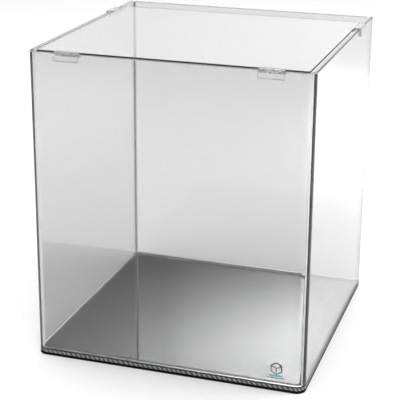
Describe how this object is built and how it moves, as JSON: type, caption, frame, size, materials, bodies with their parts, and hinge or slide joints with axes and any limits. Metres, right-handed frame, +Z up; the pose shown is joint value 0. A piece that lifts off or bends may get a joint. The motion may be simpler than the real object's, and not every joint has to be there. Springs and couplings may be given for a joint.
{
  "type": "display cube",
  "caption": "Rimless clear display cube with a bent front pane, flat back pane, silicone seams, foam mat and a loose cover pane held just inside the rim by sliding clear clips.",
  "frame": {"origin": "centre of the foam mat's underside, under the middle of the cube", "axes": "+Z up, -Y out of the bent front pane, +X to the viewer's right facing the front"},
  "size_m": [0.3846, 0.3823, 0.4318],
  "materials": {
    "glass": "clear polished float glass, faintly green at its edges",
    "cover_glass": "clear polished float glass with bevelled edges",
    "silicone": "clear cured silicone, slightly milky, smooth",
    "clip_plastic": "clear moulded plastic, glossy",
    "foam": "black closed-cell foam sheet, matt",
    "label_film": "clear printed film, satin"
  },
  "bodies": {
    "tank": {"foam_mat": "foam", "bottom_pane": "glass", "front_wrap_pane": "glass", "back_pane": "glass", "wrap_base_seam": "silicone", "back_base_seam": "silicone", "back_left_seam": "silicone", "back_right_seam": "silicone", "front_label": "label_film"},
    "cover": {"cover_pane": "cover_glass"},
    "clip_front_left": {"front_left_clip": "clip_plastic"},
    "clip_front_right": {"front_right_clip": "clip_plastic"},
    "clip_left_side": {"left_side_clip": "clip_plastic"},
    "clip_right_side": {"right_side_clip": "clip_plastic"}
  },
  "joints": [
    {"name": "cover_lift", "type": "slide", "parent": "tank", "child": "cover", "axis": [0, 0, 1], "range_m": [0, 0.15]},
    {"name": "front_left_clip_slide", "type": "slide", "parent": "tank", "child": "clip_front_left", "axis": [1, 0, 0], "range_m": [-0.02, 0.11]},
    {"name": "front_right_clip_slide", "type": "slide", "parent": "tank", "child": "clip_front_right", "axis": [1, 0, 0], "range_m": [-0.11, 0.02]},
    {"name": "left_side_clip_slide", "type": "slide", "parent": "tank", "child": "clip_left_side", "axis": [0, 1, 0], "range_m": [-0.24, 0.055]},
    {"name": "right_side_clip_slide", "type": "slide", "parent": "tank", "child": "clip_right_side", "axis": [0, 1, 0], "range_m": [-0.24, 0.055]}
  ]
}
